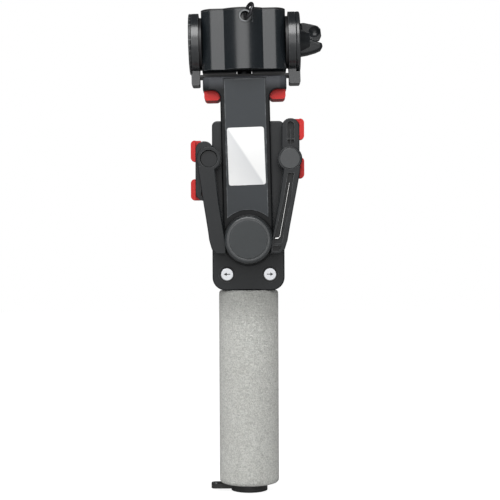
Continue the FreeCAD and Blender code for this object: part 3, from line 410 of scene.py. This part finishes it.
# ============================================================ clamp knob, arms and pad bars
# Moulded black plastic. The knob turns a steel stud that clamps the mast's round boss; its rim
# has grip notches and its face a finely pebbled disc. The arms hang on steel pins beside it.
arm_plastic = finish("arm_plastic", moulded_black, 0.30, size=1500.0, depth=0.08, reach=0.0005,
                     edge_colour=(0.20, 0.205, 0.21), amount=0.85, dust=0.25, Specular_IOR_Level=0.34)
knob_plastic = finish("knob_plastic", (0.026, 0.029, 0.031), 0.26, size=1500.0, depth=0.05,
                      reach=0.0006, edge_colour=(0.22, 0.225, 0.23), amount=0.8, dust=0.2,
                      Specular_IOR_Level=0.62)
plain_steel = finish("plain_steel", (0.50, 0.51, 0.52), 0.25, metallic=1.0, depth=0.04, amount=0.3,
                     dust=0.2)
dress(arm_plastic, "left_arm", "right_arm", "left_hub_cap", "left_bar", "right_bar", "wing_knob")
dress(knob_plastic, "clamp_knob", "right_hub_cap")
dress(plain_steel, "arm_pins", "clamp_stud", "clamp_nut", "left_bar_pin", "right_bar_pin",
      "pan_nut", "tilt_axle", "camera_socket")
face_plastic = finish("face_plastic", (0.026, 0.030, 0.032), 0.42, size=2600.0, depth=0.25, dust=0.1)
dress(face_plastic, "knob_cap")

# ============================================================ mast and label
# The T-shaped mast swings about the clamp stud. A slightly paler inset panel runs down its
# front and carries a blank glossy label plate with a painted reflection, a soft diagonal grey fade.
# Its top is painted greyer, a painted highlight along the shoulder's top edge.
mast_plastic = finish("mast_plastic", (0.005, 0.0058, 0.0066), 0.30, size=1500.0, depth=0.06,
                      reach=0.0004, edge_colour=(0.10, 0.105, 0.11), amount=0.5, dust=0.1,
                      Specular_IOR_Level=0.20)
# Painted highlight: the top of the mast is mixed towards a paler grey, standing in for light along the
# shoulder's top edge.
mast_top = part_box("mast")[1].z
tree = mast_plastic.node_tree
mast_place = add(tree, "ShaderNodeTexCoord").outputs["Object"]
mast_height = add(tree, "ShaderNodeSeparateXYZ", {0: mast_place}).outputs[2]
painted_top_highlight = add(tree, "ShaderNodeMapRange", {"Value": mast_height, "From Min": mast_top - 0.0095,
                                           "From Max": mast_top - 0.002, "To Max": 0.8},
              interpolation_type="SMOOTHSTEP").outputs["Result"]
mast_socket = tree.nodes["Principled BSDF"].inputs["Base Color"]
painted_top_highlight_mix = add(tree, "ShaderNodeMix", {0: painted_top_highlight, 6: mast_socket.links[0].from_socket,
                                          7: (0.085, 0.090, 0.100, 1.0)}, data_type="RGBA")
tree.links.new(painted_top_highlight_mix.outputs[2], mast_socket)
dress(mast_plastic, "mast")
panel_plastic = finish("panel_plastic", (0.022, 0.027, 0.032), 0.34, size=1300.0, depth=0.06, dust=0.2,
                       reach=0.0011, edge_colour=(0.20, 0.21, 0.22), amount=1.0,
                       Specular_IOR_Level=0.42)
dress(panel_plastic, "mast_panel")
label_low, label_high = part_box("label_plate")
label_card = finish("label_card", (0.84, 0.845, 0.84), 0.16, size=400.0, depth=0.01, waviness=0.02,
                    edge_colour=(0.80, 0.80, 0.79), dust=0.2, spread=0.05, Coat_Weight=0.6,
                    Coat_Roughness=0.06)
tree = label_card.node_tree
label_middle = (label_low + label_high) / 2
label_size = label_high - label_low
label_place = add(tree, "ShaderNodeTexCoord").outputs["Object"]
spot = add(tree, "ShaderNodeMapping", {"Vector": label_place, "Location": tuple(-label_middle)},
           vector_type="POINT").outputs[0]
axes = add(tree, "ShaderNodeSeparateXYZ", {0: spot}).outputs
# Painted reflection: below the plate's diagonal the colour fades to grey, standing in for a reflection
# in the glossy plate.
diagonal = math_node(tree, "SUBTRACT", math_node(tree, "MULTIPLY", axes[0], -2.0 / label_size.x),
                     math_node(tree, "MULTIPLY", axes[2], 2.0 / label_size.z))
reflection_edge = add(tree, "ShaderNodeMapRange", {"Value": diagonal, "From Min": -0.06, "From Max": 0.10},
               interpolation_type="SMOOTHSTEP").outputs["Result"]
reflection_falloff = add(tree, "ShaderNodeMapRange", {"Value": diagonal, "From Min": 0.1, "From Max": 1.7,
                                          "To Min": 1.0, "To Max": 0.0}).outputs["Result"]
label_base_colour = tree.nodes["Principled BSDF"].inputs["Base Color"].links[0].from_socket
painted_reflection = add(tree, "ShaderNodeMix", {0: math_node(tree, "MULTIPLY", reflection_edge, reflection_falloff), 6: label_base_colour,
                                    7: (0.62, 0.63, 0.64, 1.0)}, data_type="RGBA")
tree.links.new(painted_reflection.outputs[2], tree.nodes["Principled BSDF"].inputs["Base Color"])
dress(label_card, "label_plate")

# ============================================================ red rubber pads
# Moulded soft red rubber: two under the mast's shoulders and two on each pad bar.
red_rubber = finish("red_rubber", (0.52, 0.014, 0.012), 0.42, edge_colour=(0.62, 0.05, 0.045),
                    size=1200.0, depth=0.1, dust=0.25, Specular_IOR_Level=0.3)
dress(red_rubber, "shoulder_pad_left", "shoulder_pad_right", "left_pads", "right_pads")

# ============================================================ arm wires
# Bent spring steel wire lying in each arm's channel.
spring_wire = finish("spring_wire", (0.62, 0.62, 0.61), 0.2, metallic=1.0, depth=0.02, amount=0.2,
                     dust=0.1)
dress(spring_wire, "left_wire", "right_wire")

# ============================================================ pan joint, yoke and tilt axle
# A thin moulded bridge turns on a washer on top of the mast. Round painted ears stand up from
# it and hold the axle; the drag dial is on the left and the wing lock knob on the right.
drag_cup = finish("drag_cup", (0.012, 0.012, 0.013), 0.42, size=1400.0, depth=0.06, dust=0.2)
dress(drag_cup, "pan_washer", "tilt_washers", "yoke_bridge")
head_paint = finish("head_paint", (0.012, 0.014, 0.016), 0.25, size=1800.0, depth=0.06, waviness=0.03,
                    edge_colour=(0.22, 0.225, 0.23), dust=0.25, Specular_IOR_Level=0.9)
dress(head_paint, "yoke_ear_left", "yoke_ear_right", "drag_dial", "tilt_cover")

# ============================================================ tilt drum
# A cast block with a half-round front between two flats, painted satin black, with a thin
# plate on top. A small steel ring hangs through an eyelet in the front wall.
drum_paint = finish("drum_paint", (0.009, 0.012, 0.0145), 0.23, size=1900.0, depth=0.05, waviness=0.03,
                    edge_colour=(0.2, 0.205, 0.21), dust=0.25, Specular_IOR_Level=1.0)
dress(drum_paint, "drum")
plate_paint = finish("plate_paint", (0.012, 0.012, 0.013), 0.4, size=1800.0, depth=0.06)
dress(plate_paint, "top_plate")
ring_steel = finish("ring_steel", (0.06, 0.06, 0.065), 0.25, metallic=0.8, depth=0.02, dust=0.1)
dress(ring_steel, "carry_ring")
eyelet_nickel = finish("eyelet_nickel", (0.17, 0.175, 0.18), 0.3, metallic=0.9, depth=0.03,
                       amount=0.3, dust=0.1)
dress(eyelet_nickel, "eyelet")
